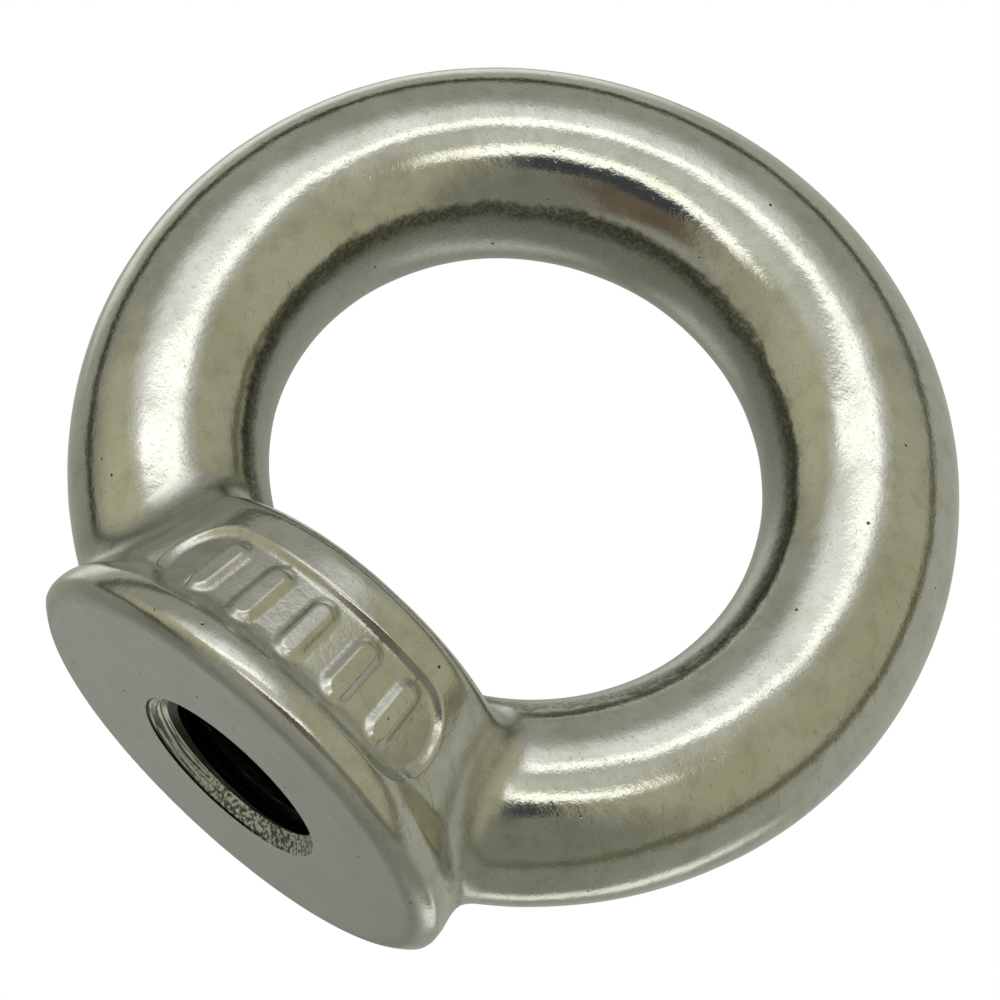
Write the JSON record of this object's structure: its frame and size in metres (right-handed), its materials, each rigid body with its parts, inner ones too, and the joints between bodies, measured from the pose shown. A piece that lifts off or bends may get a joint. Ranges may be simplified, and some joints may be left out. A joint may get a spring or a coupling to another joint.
{
  "type": "lifting eye nut",
  "caption": "One-piece lifting eye: a round ring on a tapered collar with a threaded hole, screwed onto a stud as an anchor for a hook, shackle or rope.",
  "frame": {"origin": "centre of the ground seating face, on the thread axis", "axes": "+Z along the thread axis from the seating face towards the eye; the ring lies in the XZ plane and the eye looks along Y; -Y faces the marking panel"},
  "size_m": [0.045, 0.025, 0.0443],
  "materials": {
    "polished_steel": "cast stainless steel, polished, with a ground seating face"
  },
  "bodies": {
    "root": {"eye_nut": "polished_steel"}
  },
  "joints": []
}
